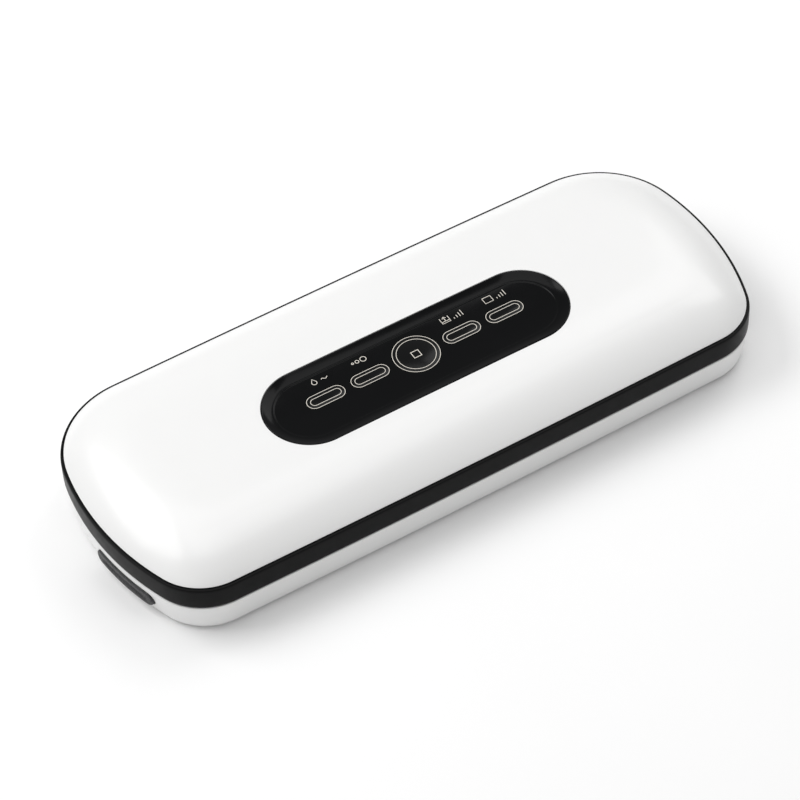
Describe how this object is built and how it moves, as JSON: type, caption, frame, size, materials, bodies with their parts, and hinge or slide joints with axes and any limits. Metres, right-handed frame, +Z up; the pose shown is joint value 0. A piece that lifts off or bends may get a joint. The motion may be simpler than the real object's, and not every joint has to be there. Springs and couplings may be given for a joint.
{
  "type": "vacuum sealer",
  "caption": "Slim domestic vacuum sealer with a domed hinged lid, sunken touch-key panel, trim band, end release buttons, vacuum chamber and sealing bar.",
  "frame": {"origin": "centre of the bounding box in plan, on the surface that the feet stand on", "axes": "+Z up, +X to the right along the length seen from the front, -Y to the front edge where bags go in"},
  "size_m": [0.3718, 0.1532, 0.0501],
  "materials": {
    "shell": "satin-gloss moulded ABS",
    "trim": "fine satin black ABS",
    "panel": "polished black acrylic",
    "key": "polished black with a fine printed outline",
    "grip": "pebbled black",
    "deck": "fine-textured dark grey ABS",
    "tray": "smooth dark grey",
    "gasket": "closed-cell foam",
    "silicone": "translucent grey silicone",
    "tape": "glass cloth coated with PTFE",
    "steel": "plated steel",
    "board": "solder-masked board",
    "ferrite": "ferrite and lacquered winding",
    "rubber": "soft black rubber",
    "plastic": "black engineering plastic"
  },
  "bodies": {
    "base": {"base_gasket": "gasket", "base_housing": "shell", "base_screw_1": "steel", "base_screw_2": "steel", "base_screw_3": "steel", "base_screw_4": "steel", "capacitor": "plastic", "deck": "deck", "drip_tray": "tray", "foot_1": "rubber", "foot_2": "rubber", "foot_3": "rubber", "foot_4": "rubber", "heat_sink": "steel", "heater_bar": "plastic", "heater_tape": "tape", "heating_wire": "steel", "hinge_pin_left": "steel", "hinge_pin_right": "steel", "inlet_pin_1": "steel", "inlet_pin_2": "steel", "lid_switch": "plastic", "mains_inlet": "plastic", "power_board": "board", "release_spring_left": "steel", "release_spring_right": "steel", "transformer": "ferrite"},
    "lid": {"lid_cover": "shell", "trim_band": "trim", "lid_liner": "deck", "control_panel": "panel", "control_board": "board", "lid_gasket": "gasket", "press_strip": "silicone", "pump_motor": "steel", "pump_head": "plastic", "vacuum_hose": "silicone", "release_valve": "plastic", "lid_hook_left": "plastic", "lid_hook_right": "plastic", "tact_switch_1": "plastic", "tact_switch_2": "plastic", "tact_switch_3": "plastic", "tact_switch_4": "plastic", "tact_switch_5": "plastic", "lid_screw_1": "steel", "lid_screw_2": "steel", "lid_screw_3": "steel", "lid_screw_4": "steel"},
    "key_drop": {"key_drop": "key"},
    "key_pulse": {"key_pulse": "key"},
    "key_stop": {"key_stop": "key"},
    "key_vacuum": {"key_vacuum": "key"},
    "key_seal": {"key_seal": "key"},
    "release_left": {"release_button_left": "grip", "catch_slider_left": "plastic"},
    "release_right": {"release_button_right": "grip", "catch_slider_right": "plastic"}
  },
  "joints": [
    {"name": "lid_hinge", "type": "hinge", "parent": "base", "child": "lid", "pos_m": [0, 0.0732, 0.019], "axis": [-1, 0, 0], "range_deg": [0, 95], "deforming": ["lid_hook_left", "lid_hook_right"]},
    {"name": "release_left_slide", "type": "slide", "parent": "base", "child": "release_left", "axis": [1, 0, 0], "range_m": [0, 0.003], "stiffness_N_per_m": 400, "springref_m": -0.002, "deforming": ["release_spring_left"]},
    {"name": "release_right_slide", "type": "slide", "parent": "base", "child": "release_right", "axis": [-1, 0, 0], "range_m": [0, 0.003], "stiffness_N_per_m": 400, "springref_m": -0.002, "deforming": ["release_spring_right"]},
    {"name": "key_drop_press", "type": "slide", "parent": "lid", "child": "key_drop", "axis": [0, 0, -1], "range_m": [0, 0.0005], "stiffness_N_per_m": 2500, "springref_m": -0.0004},
    {"name": "key_pulse_press", "type": "slide", "parent": "lid", "child": "key_pulse", "axis": [0, 0, -1], "range_m": [0, 0.0005], "stiffness_N_per_m": 2500, "springref_m": -0.0004},
    {"name": "key_stop_press", "type": "slide", "parent": "lid", "child": "key_stop", "axis": [0, 0, -1], "range_m": [0, 0.0005], "stiffness_N_per_m": 2500, "springref_m": -0.0004},
    {"name": "key_vacuum_press", "type": "slide", "parent": "lid", "child": "key_vacuum", "axis": [0, 0, -1], "range_m": [0, 0.0005], "stiffness_N_per_m": 2500, "springref_m": -0.0004},
    {"name": "key_seal_press", "type": "slide", "parent": "lid", "child": "key_seal", "axis": [0, 0, -1], "range_m": [0, 0.0005], "stiffness_N_per_m": 2500, "springref_m": -0.0004}
  ]
}
